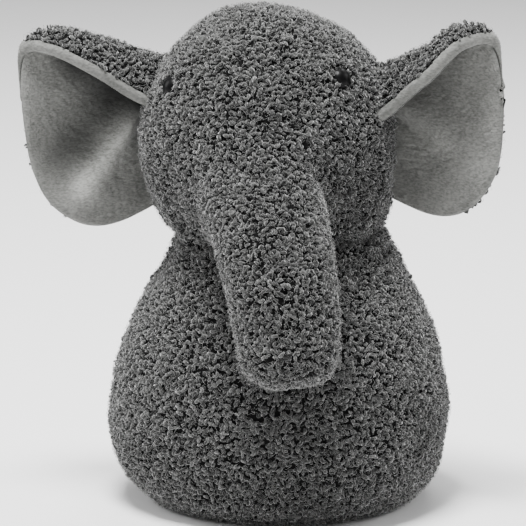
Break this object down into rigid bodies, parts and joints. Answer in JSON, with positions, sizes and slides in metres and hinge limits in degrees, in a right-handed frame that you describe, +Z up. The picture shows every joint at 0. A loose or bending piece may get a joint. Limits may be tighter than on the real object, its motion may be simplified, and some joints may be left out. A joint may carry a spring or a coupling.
{
  "type": "stuffed elephant",
  "caption": "Legless pear-shaped plush elephant that sits on a flat round base, with a domed head, a hanging trunk and large lined ears that fold.",
  "frame": {"origin": "centre of the flat round base, on the surface it stands on", "axes": "+Z up through the head, the face and trunk look along -Y, +X is the animal's own left ear"},
  "size_m": [0.2413, 0.2252, 0.2594],
  "materials": {
    "curly_cloth": "matte",
    "base_cloth": "matte",
    "velvet": "matte",
    "filling": "matte",
    "bag_cloth": "matte",
    "pellets": "matte",
    "eye_plastic": "gloss",
    "washer_plastic": "matte"
  },
  "bodies": {
    "body": {"body_front_panel": "curly_cloth", "body_back_panel": "curly_cloth", "base_panel": "base_cloth", "body_stuffing": "filling", "pellet_bag": "bag_cloth", "pellet_fill": "pellets"},
    "head": {"head_left_panel": "curly_cloth", "head_right_panel": "curly_cloth", "head_centre_gusset": "curly_cloth", "head_stuffing": "filling", "eye_left": "eye_plastic", "eye_right": "eye_plastic", "eye_washer_left": "washer_plastic", "eye_washer_right": "washer_plastic"},
    "trunk": {"trunk_upper_panel": "curly_cloth", "trunk_underside_panel": "curly_cloth", "trunk_stuffing": "filling"},
    "ear_left": {"ear_left_outer": "curly_cloth", "ear_left_lining": "velvet"},
    "ear_right": {"ear_right_outer": "curly_cloth", "ear_right_lining": "velvet"}
  },
  "joints": [
    {"name": "head_turn", "type": "hinge", "parent": "body", "child": "head", "pos_m": [0, 0, 0.142], "axis": [0, 0, 1], "range_deg": [-12, 12], "stiffness_Nm_per_rad": 0.6},
    {"name": "trunk_lift", "type": "hinge", "parent": "head", "child": "trunk", "pos_m": [-0.01201, -0.04929, 0.17342], "axis": [-0.989, 0.1302, -0.0698], "range_deg": [-2, 28], "stiffness_Nm_per_rad": 0.5},
    {"name": "ear_left_fold", "type": "hinge", "parent": "head", "child": "ear_left", "pos_m": [-0.06513, 0.01722, 0.19069], "axis": [-0.0692, 0.0091, 0.9976], "range_deg": [-32, 10], "stiffness_Nm_per_rad": 0.06},
    {"name": "ear_right_fold", "type": "hinge", "parent": "head", "child": "ear_right", "pos_m": [0.05355, 0.00159, 0.19906], "axis": [0.0692, -0.0091, -0.9976], "range_deg": [-32, 10], "stiffness_Nm_per_rad": 0.06}
  ]
}
